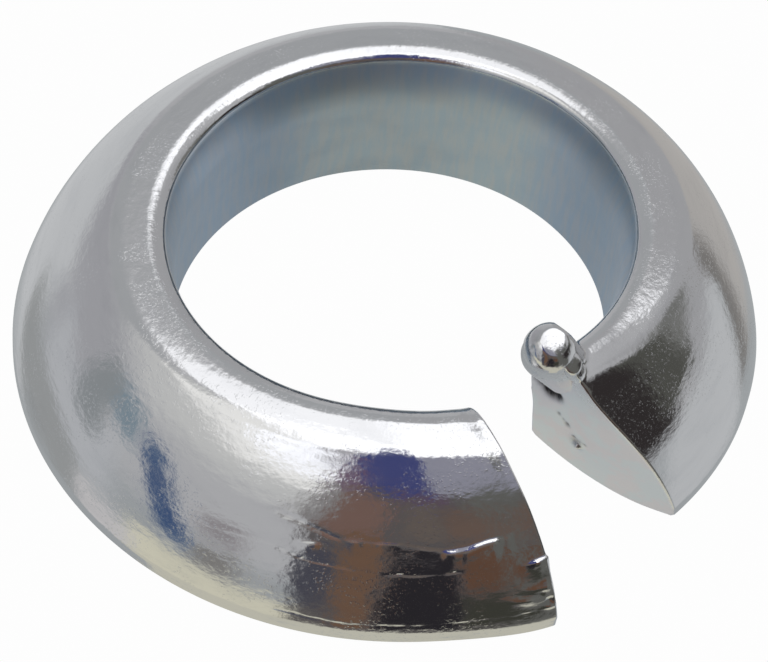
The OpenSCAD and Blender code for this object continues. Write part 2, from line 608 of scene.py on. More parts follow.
        # the first two rings round the cut's edge; each is [inwards, back] in edge roundings
        bend = [(0.29, 0.29), (1.0, 0.0)]
        for k in range(rings):
            inset, back = bend[min(k, 1)]
            share = 1 - self.edge_round * inset / reach
            if k >= len(bend):
                share = share * (1 - ((k - 1) / (rings - 1)) ** self.ring_crowd)
            px, py = middle[0] + (x - middle[0]) * share, middle[1] + (y - middle[1]) * share
            angle = (self.head_angle(px, py) if is_head else self.tail_angle(px, py))
            angle = angle + sign * back * self.edge_round * np.degrees(1 / (z.bore_r + px))
            lift = self.rise(py, zero if is_head else far, far if is_head else zero)
            points.append(self.place(px, py + lift, angle))
            start = total + k * count
            for j in range(count):
                n = (j + 1) % count
                quad = (last + j, start + j, start + n, last + n)
                faces.append(quad if is_head else quad[::-1])
            last = start
        angle = (self.head_angle if is_head else self.tail_angle)(middle[:1], middle[1:])
        lift = self.rise(middle[1:], zero if is_head else far, far if is_head else zero)
        points.append(self.place(middle[:1], middle[1:] + lift, angle))
        tip = total + rings * count
        for j in range(count):
            n = (j + 1) % count
            faces.append((last + j, tip, last + n) if is_head else (last + n, tip, last + j))

    def unroll(self, points: np.ndarray) -> tuple[np.ndarray, ...]:
        """Finds where points lie on the coil.

        Args:
            points: Points in millimetres.

        Returns:
            Out from the bore, up from the foot, place u, distance from the head cut and
            distance from the tail cut.
        """
        z = self.sizes
        r = np.hypot(points[:, 0], points[:, 1])
        a = np.degrees(np.arctan2(points[:, 1], points[:, 0]))
        x = r - z.bore_r
        y = points[:, 2] - self.level(np.full(len(r), -1.0))
        for _ in range(3):
            split = (self.head_angle(x, y) + self.tail_angle(x, y)) / 2 - 180
            a = (a - split) % 360 + split
            u = (a - 90) / z.half_turn
            x = (r - z.bore_r) / (1 + z.end_spread * u**3)
            y = points[:, 2] - self.level(u)
            reach = np.radians(1) * (z.bore_r + x)
            s, t = (a - self.head_angle(x, y)) * reach, (self.tail_angle(x, y) - a) * reach
            y = y - self.rise(y, np.maximum(s, 0), np.maximum(t, 0))
        return x, y, u, s, t


@dataclass(frozen=True)
class Lump:
    """A tapered round-ended lump of squeezed metal between two places at the head cut.

    Each end is [out from the bore, up from the foot, distance back from the cut, radius]; pressed
    lists the flats on it as [direction, share of the radius left]; uneven is its roughness in mm.
    """

    name: str
    root: tuple[float, float, float, float]
    top: tuple[float, float, float, float]
    pressed: tuple[tuple[tuple[float, float, float], float], ...] = ()
    uneven: float = 0.0


@dataclass
class Burr:
    """Metal squeezed up at the head end: a bulb on its neck, and the tongue folded down below it.

    reach is how far round the bulb's line the metal is disturbed, and flatness how much of what
    stands past a flat is pressed away.
    """

    coil: Coil
    lumps: tuple[Lump, ...] = (
        Lump(
            "bulb", (0.89, 6.3, 1.1, 0.98), (1.05, 8.9, -0.2, 1.17),
            (((-0.068, -0.39, 0.918), 0.84), ((0.757, 0.32, 0.57), 0.88)), 0.03,
        ),
        Lump("tongue", (1.42, 6.72, 0.16, 0.62), (0.90, 8.4, -0.2, 1.13), (), 0.05),
        Lump("cheek", (0.42, 6.5, 0.3, 0.36), (0.32, 7.1, -0.05, 0.46), (), 0.03),
        Lump("nub", (1.95, 7.7, 0.3, 0.4), (2.2, 8.85, -0.12, 0.48), (((-0.068, -0.39, 0.918), 0.6),)),
    )
    rings: int = 44
    sides: int = 52
    reach: float = 1.95
    flatness: float = 0.85

    def spot(self, end: tuple[float, float, float, float]) -> np.ndarray:
        """Where an end of a lump is, in millimetres.

        Args:
            end: Out from the bore, up from the foot, back from the cut, and radius.

        Returns:
            The place.
        """
        z = self.coil.sizes
        x, y, back, _ = (np.array([value]) for value in end)
        angle = self.coil.head_angle(x, y) + back * np.degrees(1 / (z.bore_r + x))
        return self.coil.place(x, y, angle)[0]

    def mesh(self, lump: Lump) -> tuple[np.ndarray, list[tuple[int, ...]]]:
        """Lofts rings along the line from a lump's root to its top.

        Args:
            lump: The lump.

        Returns:
            Points in millimetres, and faces as point numbers.
        """
        root, top = self.spot(lump.root), self.spot(lump.top)
        small, large = lump.root[3], lump.top[3]
        axis = top - root
        length = np.linalg.norm(axis)
        axis = axis / length
        side = np.cross(axis, [0.0, 0.0, 1.0])
        side /= np.linalg.norm(side)
        other = np.cross(axis, side)
        tilt = math.asin((large - small) / length)
        points = [root - axis * small]
        for i in range(1, self.rings):
            turn = math.pi * i / self.rings - math.pi / 2
            centre, radius = (root, small) if turn < -tilt else (top, large)
            for j in range(self.sides):
                a = 2 * math.pi * j / self.sides
                ring = side * math.cos(a) + other * math.sin(a)
                points.append(centre + radius * (axis * math.sin(turn) + ring * math.cos(turn)))
        points.append(top + axis * large)
        skin = np.array(points)
        for direction, left in lump.pressed:
            over = np.maximum(0, (skin - top) @ np.array(direction) - left * large)
            skin -= self.flatness * over[:, None] * np.array(direction)
        if lump.uneven:
            coarse, fine = grain(skin, 1.1, 7.0), grain(skin, 2.3, 2.0)
            skin += lump.uneven * (coarse + 0.5 * fine)[:, None] * axis
            skin += lump.uneven * grain(skin, 1.3, 4.0)[:, None] * side
        faces = []
        last = len(points) - 1
        for j in range(self.sides):
            k = (j + 1) % self.sides
            faces.append((0, 1 + k, 1 + j))
            for i in range(self.rings - 2):
                a, b = 1 + i * self.sides, 1 + (i + 1) * self.sides
                faces.append((a + j, a + k, b + k, b + j))
            end = last - self.sides
            faces.append((last, end + j, end + k))
        return skin, faces


# --------------------------------------------------------------------------- marks on the metal

# How far the noises shift the marks' edges, across the coil and along it, and the depth from
# which a score's painted highlight is at full strength, in millimetres.
FRAY = 0.05
FRAY_ALONG = 0.06
FULL_SHINE_DEPTH = 0.04


class Lay:
    """Where each point of the washer's mesh lies on its coil.

    x is out from the bore, y up from the foot, u the place along the coil from -1 to 1, s and t
    the distances from the head cut and the tail cut, share the place up the cone face, whose
    length is face, and reach the distance from the axis; lengths are in millimetres. place is
    [x, y, length along the coil], which the noises use, and ragged and fine fray the marks.
    """

    def __init__(self, coil: Coil, points: np.ndarray) -> None:
        """Unrolls points from a coil.

        Args:
            coil: The coil.
            points: Points of its mesh, in millimetres.
        """
        self.x, self.y, self.u, self.s, self.t = coil.unroll(points)
        _, radius, _, half = coil.flank_arc()
        self.face = 2 * half * radius
        self.share = coil.flank_share(self.x, self.y)
        self.reach = coil.sizes.bore_r + self.x
        self.half_turn = coil.sizes.half_turn
        # one radius for the whole section, so that the noises aren't sheared across it
        along = np.radians(self.u * self.half_turn) * coil.mean_radius
        self.place = np.stack([self.x, self.y, along], -1)
        self.ragged = grain(self.place, 2.2)
        self.fine = grain(self.place, 6.0, seed=3.0)

    def flank(self) -> np.ndarray:
        """Is 1 on the cone face and 0 elsewhere."""
        rising = smooth(self.share, 0.0, 0.01) * (1 - smooth(self.share, 1.0, 1.02))
        return rising * (self.x > 1.2) * (self.y > 0.3) * (self.s > 0.02) * (self.t > -0.02)

    def head(self) -> np.ndarray:
        """Is 1 on the head cut, and on the tongue that hangs over it."""
        return 1 - smooth(np.abs(self.s) - 0.25 * smooth(self.y, 5.0, 5.6), 0.02, 0.16)

    def cut(self) -> np.ndarray:
        """Is 1 on both cut faces, up to the burr."""
        sheared = (1 - smooth(self.s, 0.0, 0.06)) * (1 - smooth(self.y, 7.2, 8.0))
        return np.maximum(sheared, 1 - smooth(self.t, 0.0, 0.06))

    def bore(self) -> np.ndarray:
        """Is 1 on the wall of the bore."""
        inside = (1 - smooth(self.x, 0.45, 0.85)) * (1 - smooth(self.y, 7.05, 7.4))
        return inside * (1 - self.cut())


@dataclass(frozen=True)
class Score:
    """A line scraped along the cone face.

    track is its places as (u, share up the face), depth and width are in millimetres, broken
    is how much of it is missing, from 0 to 1, and lee is how far it trails off downwards. A line
    whose depth is below 0 is a lap of metal that stands up. Along its middle the line is painted
    brighter, as a highlight.
    """

    name: str
    track: tuple[tuple[float, float], ...]
    depth: float
    width: float
    broken: float = 0.0
    lee: float = 0.0

    def press(self, lay: Lay, flank: np.ndarray) -> tuple[np.ndarray, np.ndarray]:
        """Presses the line into the cone face.

        Args:
            lay: Where the points lie.
            flank: Mask of the cone face.

        Returns:
            The depth in millimetres and the painted highlight, from 0 to 1, at each point.
        """
        fade_in, fade_out, gaps_per_mm, left_in_gaps = 0.012, 0.01, 1.4, 0.25
        track_u, track_share = np.array(self.track).T
        start, end = track_u[0], track_u[-1]
        off = (lay.share - np.interp(lay.u, track_u, track_share)) * lay.face + FRAY * lay.ragged
        ends = smooth(lay.u, start, start + fade_in) * (1 - smooth(lay.u, end - fade_out, end))
        # each line's own depth picks its own pattern of gaps
        run = grain(lay.place * (0.0, 0.0, 1.0), gaps_per_mm, self.depth * 90)
        whole = smooth(run, self.broken - 0.65, self.broken - 0.35)
        worn = ends * flank * (left_in_gaps + (1 - left_in_gaps) * whole)
        upper = die(off, self.width / 2)
        lower = die(off, max(self.width / 2, self.lee))
        # painted highlight along the middle of the line, the stronger the deeper it is
        painted_shine = upper * worn * min(1.0, abs(self.depth) / FULL_SHINE_DEPTH)
        return np.where(off > 0, upper, lower) * worn * self.depth, painted_shine


@dataclass(frozen=True)
class Dent:
    """A hollow in the cone face, or a raised spot if its depth is below 0.

    u and share place its middle; along and across are its radii, in millimetres, lee is the
    radius on its lower side, and turn is how far it is turned from the coil's direction. A raised
    spot is painted brighter on its upper side, as a highlight.
    """

    name: str
    u: float
    share: float
    along: float
    across: float
    depth: float
    turn: float = 0.0
    lee: float = 0.0

    def press(self, lay: Lay, flank: np.ndarray) -> tuple[np.ndarray, np.ndarray]:
        """Presses the hollow into the cone face.

        Args:
            lay: Where the points lie.
            flank: Mask of the cone face.

        Returns:
            The depth in millimetres and the painted highlight on a raised spot's upper side, from 0 to 1,
            at each point.
        """
        turn = math.radians(self.turn)
        du = np.radians((lay.u - self.u) * lay.half_turn) * lay.reach + FRAY_ALONG * lay.ragged
        dv = (lay.share - self.share) * lay.face + FRAY * lay.fine
        du, dv = du * math.cos(turn) + dv * math.sin(turn), dv * math.cos(turn) - du * math.sin(turn)
        wide = np.where(dv > 0, self.across, max(self.across, self.lee))
        spot = np.exp(-((du / self.along) ** 2) - (dv / wide) ** 2) * flank
        # a raised spot gets a painted highlight on its upper side
        return spot * self.depth, spot * (self.depth < 0) * (dv > 0) * 0.7


@dataclass(frozen=True)
class Pit:
    """A pit in the head cut, or a pimple if its depth is below 0; x and y are in the section.

    darkening is how dark it is painted; below 0 it clears the darkening of the pits before it.
    The crescent's darkening is painted shadow under the lip of the tongue, and a pimple is
    painted brighter as a highlight.
    """

    name: str
    x: float
    y: float
    radius: float
    depth: float
    darkening: float = 0.0

    def spot(self, lay: Lay) -> np.ndarray:
        """How much each point is in the pit, from 0 to 1."""
        off = np.hypot(lay.x - self.x + FRAY * lay.ragged, lay.y - self.y + FRAY * lay.fine)
        return die(off, self.radius) * lay.head()


@dataclass(frozen=True)
class DarkPatch:
    """A darker patch on the squeezed metal; x and y are in the section, s is back from the cut."""

    name: str
    x: float
    y: float
    s: float
    radius: float
    strength: float

    def darkening(self, lay: Lay) -> np.ndarray:
        """Works out how dark the patch makes each point.

        Args:
            lay: Where the points lie.

        Returns:
            Darkness from 0 to 1.
        """
        off = (lay.x - self.x) ** 2 + (lay.y - self.y) ** 2 + (lay.s - self.s) ** 2
        least = 0.4
        patchy = least + (1 - least) * smooth(lay.ragged + 0.5 * lay.fine, -0.6, 0.5)
        return np.exp(-off / self.radius**2) * self.strength * patchy


SCORES = (
    Score("fold_start", ((0.79, 0.64), (0.83, 0.6), (0.862, 0.555)), 0.03, 0.09, 0.1),
    Score("fold", ((0.862, 0.555), (0.912, 0.55), (0.947, 0.517), (0.972, 0.5)), -0.03, 0.1, 0.5, 0.25),
    Score("fold_end", ((0.945, 0.5), (0.972, 0.512), (0.99, 0.55), (1.014, 0.57)), -0.1, 0.22, 0.15, 0.5),
    Score("middle", ((0.80, 0.44), (0.827, 0.417), (0.865, 0.4), (0.88, 0.39)), 0.03, 0.08, 0.35),
    Score("middle_end", ((0.895, 0.383), (0.947, 0.383), (0.97, 0.4)), 0.035, 0.09, 0.3),
    Score("faint", ((0.70, 0.40), (0.74, 0.417), (0.77, 0.45), (0.815, 0.433)), 0.008, 0.09, 0.3),
    Score("faint_high", ((0.84, 0.66), (0.90, 0.70), (0.95, 0.71)), 0.008, 0.07, 0.5),
    Score("edge", ((0.8, 0.075), (0.875, 0.05), (0.957, 0.067), (1.035, 0.085)), 0.024, 0.06, 0.7),
)
DENTS = (
    Dent("tear", 1.0345, 0.40, 0.5, 0.10, -0.15, 9.0, 0.46),
    Dent("tear_below", 1.033, 0.235, 0.4, 0.10, -0.06, 0.0, 0.2),
    Dent("chip_ridge", 1.022, 0.175, 0.75, 0.10, -0.07, -6.0, 0.26),
    Dent("chip_rise", 1.0395, 0.235, 0.14, 0.2, -0.08, 0.0, 0.3),
    Dent("nick", 1.041, 0.14, 0.18, 0.14, 0.10),
    Dent("chip", 1.0415, 0.10, 0.2, 0.07, -0.06, 0.0, 0.12),
    Dent("bruise", 0.832, 0.50, 0.35, 0.10, -0.035, 4.0, 0.3),
    Dent("nib", 0.838, 0.505, 0.12, 0.08, -0.03, 0.0, 0.1),
)
PITS = (
    # the crescent's darkening is painted shadow under the lip of the tongue
    Pit("crescent_top", 0.42, 6.2, 0.24, 0.12, 2.0),
    Pit("crescent_middle", 0.64, 5.78, 0.30, 0.2, 2.5),
    Pit("crescent_low", 0.98, 5.52, 0.32, 0.22, 2.5),
    Pit("crescent_end", 1.36, 5.45, 0.24, 0.18, 2.0),
    Pit("chain_first", 1.52, 4.3, 0.10, 0.05, 0.7),
    Pit("chain_second", 1.98, 3.85, 0.13, 0.07, 0.8),
    Pit("chain_link", 1.78, 4.05, 0.08, 0.03, 0.4),
    Pit("chain_third", 2.35, 3.2, 0.12, 0.05, 0.7),
    Pit("moat", 2.50, 2.92, 0.28, 0.06, 0.6),
    # the pimple is painted brighter as a highlight, and clears the darkening round it
    Pit("pimple", 2.60, 2.77, 0.19, -0.24, -1.0),
    Pit("chain_last", 3.0, 3.2, 0.10, 0.03, 0.5),
)
DARK_PATCHES = (
    # bulb_left and bulb_low are painted shade on the bulb's left and lower side, crevice and crevice_low
    # painted shade in the crease between the bulb and the nub; tongue_left darkens the tongue's left side
    DarkPatch("bulb_left", 0.95, 9.32, -1.0, 0.55, 0.5),
    DarkPatch("bulb_low", 0.31, 7.76, -0.6, 0.6, 0.5),
    DarkPatch("tongue_left", 1.2, 7.4, -0.6, 0.6, 0.6),
    DarkPatch("crevice", 1.78, 8.41, -0.3, 0.3, 0.9),
    DarkPatch("crevice_low", 1.95, 8.0, -0.1, 0.2, 0.8),
)


# --------------------------------------------------------------------------- the finish


@dataclass(frozen=True)
class Mottle:
    """A noise in the finish: features per millimetre, stretch, octaves and the finer ones' strength."""

    scale: float
    stretch: tuple[float, float, float] = (1.0, 1.0, 1.0)
    detail: float = 2.0
    rough: float = 0.5

    def on(self, g: Graph, place: object) -> Signal:
        """Adds the noise to a graph, at coordinates in millimetres."""
        return g.grain(g.stretched(place, self.stretch), self.scale, self.detail, self.rough)


@dataclass(frozen=True)
class ZincPlate:
    """Bright zinc plate over steel: mirror-like where rolled, satin where cut and bored.

    The colours come first, among them the painted highlight and the painted shade, then the
    noises, the roughness of each stretch of skin and what the noises add to it. relief_shares are
    the shares of the mottle, hatch, specks and sparse flecks in the bump, bump is its height in
    millimetres and satin_calm the share that satin skin lacks.
    """

    colour: tuple[float, float, float] = (0.75, 0.755, 0.765)
    dull: tuple[float, float, float] = (0.62, 0.63, 0.65)
    bored: tuple[float, float, float] = (0.44, 0.55, 0.67)
    bored_grey: tuple[float, float, float] = (0.50, 0.565, 0.645)
    sheared: tuple[float, float, float] = (0.93, 0.97, 1.0)
    sheared_warm: tuple[float, float, float] = (0.97, 0.94, 0.97)
    # colour of the painted shadow and shade at the burr, and of the darker pits
    shade_and_pit_colour: tuple[float, float, float] = (0.05, 0.045, 0.05)
    # colour of the painted highlights along the scores, on raised spots and on the pimple
    painted_shine: tuple[float, float, float] = (0.95, 0.95, 0.94)
    cloud: Mottle = Mottle(0.9, (1.0, 1.0, 0.35), 3.0, 0.55)
    patch: Mottle = Mottle(0.45)
    speck: Mottle = Mottle(5.0, detail=3.0, rough=0.6)
    fleck: Mottle = Mottle(9.0, rough=0.6)
    upright: Mottle = Mottle(1.4, (1.0, 0.3, 1.6), 3.0, 0.6)
    hatch: Mottle = Mottle(3.0, (2.0, 2.0, 0.5), 3.0, 0.6)
    mottle: Mottle = Mottle(2.4, (1.0, 1.0, 0.8))
    dull_share: float = 0.35
    rolled_rough: float = 0.085
    bored_rough: float = 0.30
    cut_rough: float = 0.26
    shade_and_pit_rough: float = 0.2
    uneven_rough: float = 0.05
    relief_shares: tuple[float, float, float, float] = (0.6, 0.1, 0.2, 0.15)
    bump: float = 0.02
    satin_calm: float = 0.75

    def material(self) -> bpy.types.Material:
        """Makes the plate's material.

        Returns:
            A material that reads the marks stored in the washer's mesh.
        """
        material = bpy.data.materials.new("zinc_steel")
        material.use_nodes = True
        g = Graph(material.node_tree)
        place = g.node("ShaderNodeAttribute", {"attribute_name": "coil_place"}, {}).outputs["Vector"]
        marks = {
            skin: g.signal("ShaderNodeAttribute", "Fac", {"attribute_name": skin.value}, {})
            for skin in Skin
        }
        bore, cut, pit = marks[Skin.BORE], marks[Skin.CUT], marks[Skin.SHADE_AND_PIT]
        cloud, speck = self.cloud.on(g, place), self.speck.on(g, place)
        dulled = cloud.step(0.45, 0.75) * self.dull_share
        colour = g.mix(dulled, (*self.colour, 1), (*self.dull, 1))
        streaky = self.upright.on(g, place).step(0.35, 0.65)
        colour = g.mix(bore, colour, g.mix(streaky, (*self.bored, 1), (*self.bored_grey, 1)))
        cloudy = cloud.step(0.4, 0.6)
        colour = g.mix(cut, colour, g.mix(cloudy, (*self.sheared, 1), (*self.sheared_warm, 1)))
        # painted highlights along the scores, on raised spots and on the pimple
        colour = g.mix(marks[Skin.SHINE], colour, (*self.painted_shine, 1))
        # painted shadow and shade at the burr, with the darker pits
        colour = g.mix(pit, colour, (*self.shade_and_pit_colour, 1))
        satin = (bore * self.bored_rough).greatest(cut * self.cut_rough)
        rough = self.rolled_rough + satin.greatest(pit * self.shade_and_pit_rough)
        rough = rough + cloud.step(0.4, 0.7) * self.uneven_rough
        rough = rough + speck.step(0.5, 0.75) * self.uneven_rough
        sparse = self.fleck.on(g, place).step(0.58, 0.70) * self.patch.on(g, place).step(0.42, 0.58)
        relief = (self.mottle.on(g, place), self.hatch.on(g, place), speck, sparse)
        height = sum(part * share for part, share in zip(relief, self.relief_shares))
        height = height * (1 - self.satin_calm * bore.greatest(cut))
        inputs = {"Strength": 1.0, "Distance": self.bump * MM, "Height": height}
        bump = g.node("ShaderNodeBump", {}, inputs)
        inputs = {"Base Color": colour, "Metallic": 1.0, "Roughness": rough, "Normal": bump.outputs[0]}
        shader = g.node("ShaderNodeBsdfPrincipled", {}, inputs)
        g.node("ShaderNodeOutputMaterial", {}, {"Surface": shader.outputs[0]})
        return material


# --------------------------------------------------------------------------- the washer


@dataclass
class Washer:
    """The spring washer: the coil with its burr, marked by rolling and shearing.

    merge is the distance at which points become one, seam how far from a crease of the burr the
    metal is eased, nub_room the share of the nub's radius that is left alone round it, and crease
    and sharp the angles of a crease that is eased and of an edge that stays sharp.
    """

    sizes: Sizes
    finish: ZincPlate
    merge: float = 0.004
    seam: float = 0.28
    nub_room: float = 1.25
    easing: int = 7
    ripple: float = 0.010
    crease: float = math.radians(24)
    sharp: float = math.radians(42)

    def __post_init__(self) -> None:
        """Makes the coil and the burr from the sizes."""
        self.coil = Coil(self.sizes)
        self.burr = Burr(self.coil)

    def build(self) -> bpy.types.Object:
        """Builds the washer's mesh, marks it and gives it its finish.

        Returns:
            The object, riding on the root body in place of the plain solid.
        """
        body = self._object("coil", *self.coil.mesh())
        lumps = [self._object(lump.name, *self.burr.mesh(lump)) for lump in self.burr.lumps]
        joined = self._joined(body, lumps)
        washer = bpy.data.objects.new("spring_washer_plated", joined)
        bpy.context.scene.collection.objects.link(washer)
        self._ease_seam(joined)
        self._mark(joined)
        joined.materials.clear()
        joined.materials.append(self.finish.material())
        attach(washer, "root")
        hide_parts("spring_washer")
        return washer

    @staticmethod
    def _object(name: str, points: np.ndarray, faces: list[tuple[int, ...]]) -> bpy.types.Object:
        """Makes a closed object from points in millimetres.

        Args:
            name: The object's name.
            points: Its points.
            faces: Its faces, as point numbers.

        Returns:
            The object, in the scene.
        """
        mesh = bpy.data.meshes.new(name)
        mesh.from_pydata((points * MM).tolist(), [], faces)
        bm = bmesh.new()
        bm.from_mesh(mesh)
        bmesh.ops.recalc_face_normals(bm, faces=bm.faces)
        bm.to_mesh(mesh)
        bm.free()
        piece = bpy.data.objects.new(name, mesh)
        bpy.context.scene.collection.objects.link(piece)
        return piece

    @staticmethod
    def _joined(body: bpy.types.Object, lumps: list[bpy.types.Object]) -> bpy.types.Mesh:
        """Unites closed objects and removes them.

        Args:
            body: The object that stays in place.
            lumps: The objects that are added to it.

        Returns:
            Their union as one mesh.
        """
        for lump in lumps:
            union = body.modifiers.new(lump.name, "BOOLEAN")
            union.operation = "UNION"
            union.solver = "EXACT"
            union.object = lump
        graph = bpy.context.evaluated_depsgraph_get()
        mesh = bpy.data.meshes.new_from_object(body.evaluated_get(graph))
        for piece in (body, *lumps):
            old = piece.data
            bpy.data.objects.remove(piece)
            bpy.data.meshes.remove(old)
        return mesh

    def _ease_seam(self, mesh: bpy.types.Mesh) -> None:
        """Smooths the creases where the lumps of the burr grow out of the coil and meet.

        Args:
            mesh: The united coil and burr, which is changed.
        """
        bm = bmesh.new()
        bm.from_mesh(mesh)
        bmesh.ops.remove_doubles(bm, verts=bm.verts, dist=self.merge * MM)
        bm.verts.ensure_lookup_table()
        points = np.array([v.co[:] for v in bm.verts]) / MM
        lump = self.burr.lumps[0]
        top, root = self.burr.spot(lump.top), self.burr.spot(lump.root)
        axis = top - root
        along = np.clip((points - root) @ axis / (axis @ axis), 0, 1)
        off = np.linalg.norm(points - root - along[:, None] * axis, axis=1)
        zone = off < self.burr.reach
        creased = [
            edge
            for edge in bm.edges
            if zone[edge.verts[0].index] and edge.is_manifold and edge.calc_face_angle() > self.crease
        ]
        seam = np.array([edge.verts[0].co[:] for edge in creased]) / MM
        inside = np.nonzero(zone)[0]
        gaps = np.linalg.norm(points[inside][:, None] - seam[None], axis=2).min(axis=1)
        nub = self.burr.lumps[-1]
        room = nub.top[3] * self.nub_room
        apart = np.linalg.norm(points[inside] - self.burr.spot(nub.top), axis=1) > room
        near = [bm.verts[i] for i in inside[(gaps < self.seam) & apart]]
        axes = {"use_axis_x": True, "use_axis_y": True, "use_axis_z": True}
        for _ in range(self.easing):
            bmesh.ops.smooth_vert(bm, verts=near, factor=0.5, **axes)
        bm.to_mesh(mesh)
        bm.free()

    @staticmethod
    def _rows(mesh: bpy.types.Mesh, name: str) -> np.ndarray:
        """Reads a vector of each point of a mesh, as rows of three.

        Args:
            mesh: The mesh.
            name: Which vector of its points.

        Returns:
            The vectors.
        """
        values = np.empty(len(mesh.vertices) * 3)
        mesh.vertices.foreach_get(name, values)
        return values.reshape(-1, 3)

    def _mark(self, mesh: bpy.types.Mesh) -> None:
        """Presses the marks into the mesh and stores where they are.

        Args:
            mesh: The washer's mesh, which is changed.
        """
        points, normals = self._rows(mesh, "co") / MM, self._rows(mesh, "normal")
        lay = Lay(self.coil, points)
        flank = lay.flank()
        depth, scored, darkening = np.zeros((3, len(points)))
        # each mark's painted highlight, along the scores and on the upper sides of raised spots
        for mark in (*SCORES, *DENTS):
            pressed, painted_shine = mark.press(lay, flank)
            depth += pressed
            scored = np.maximum(scored, painted_shine)
        for pit in PITS:
            spot = pit.spot(lay)
            depth += spot * pit.depth
            # painted shadow of the crescent, and the darker pits
            darkening = np.maximum(darkening, spot * pit.darkening) if pit.darkening >= 0 else darkening * (1 - spot)
            # a pimple is painted brighter as a highlight
            scored = np.maximum(scored, spot * (pit.depth < 0))
        # painted shade on the bulb and in the crease by the nub, and a darker patch on the tongue
        for dark_patch in DARK_PATCHES:
            darkening = np.maximum(darkening, dark_patch.darkening(lay))
        wave = self.ripple * grain(lay.place * (0.6, 0.6, 0.35), 1.0) * flank
        points = points + normals * (wave - depth)[:, None]
        points[:, 2] -= self.coil.sag(lay.x, lay.y, lay.s) + self.coil.slump(lay.x, lay.u)
        inward = points[:, :2] / np.linalg.norm(points[:, :2], axis=1)[:, None]
        points[:, :2] -= inward * self.coil.pinch(lay.x, lay.y, lay.s)[:, None]
        mesh.vertices.foreach_set("co", (points * MM).ravel())
        mesh.update()
        self._store(mesh, "coil_place", "FLOAT_VECTOR", "vector", lay.place)
        masks = {Skin.BORE: lay.bore(), Skin.CUT: lay.cut(), Skin.SHINE: scored}
        # painted shadow and shade at the burr, with the darker pits
        masks[Skin.SHADE_AND_PIT] = np.minimum(darkening, 1)
        for skin, mask in masks.items():
            self._store(mesh, skin.value, "FLOAT", "value", mask)
        mesh.shade_smooth()
        mesh.set_sharp_from_angle(angle=self.sharp)

    @staticmethod
    def _store(mesh: bpy.types.Mesh, name: str, kind: str, field: str, values: np.ndarray) -> None:
        """Stores values of the points as an attribute of a mesh, which the finish reads."""
        data = mesh.attributes.new(name, kind, "POINT").data
        data.foreach_set(field, values.astype(np.float32).ravel())


# --------------------------------------------------------------------------- light, floor, camera


@dataclass(frozen=True)
class Card:
    """A soft-edged card of light or shade, far off round the washer.

    Its sides are degrees round the washer from the camera's side and degrees above the floor;
    lean is how far the sides move round for each degree upwards.
    """

    name: str
    sides: tuple[float, float]
    heights: tuple[float, float]
    colour: tuple[float, float, float]
    soft: float = 3.0
    lean: float = 0.0


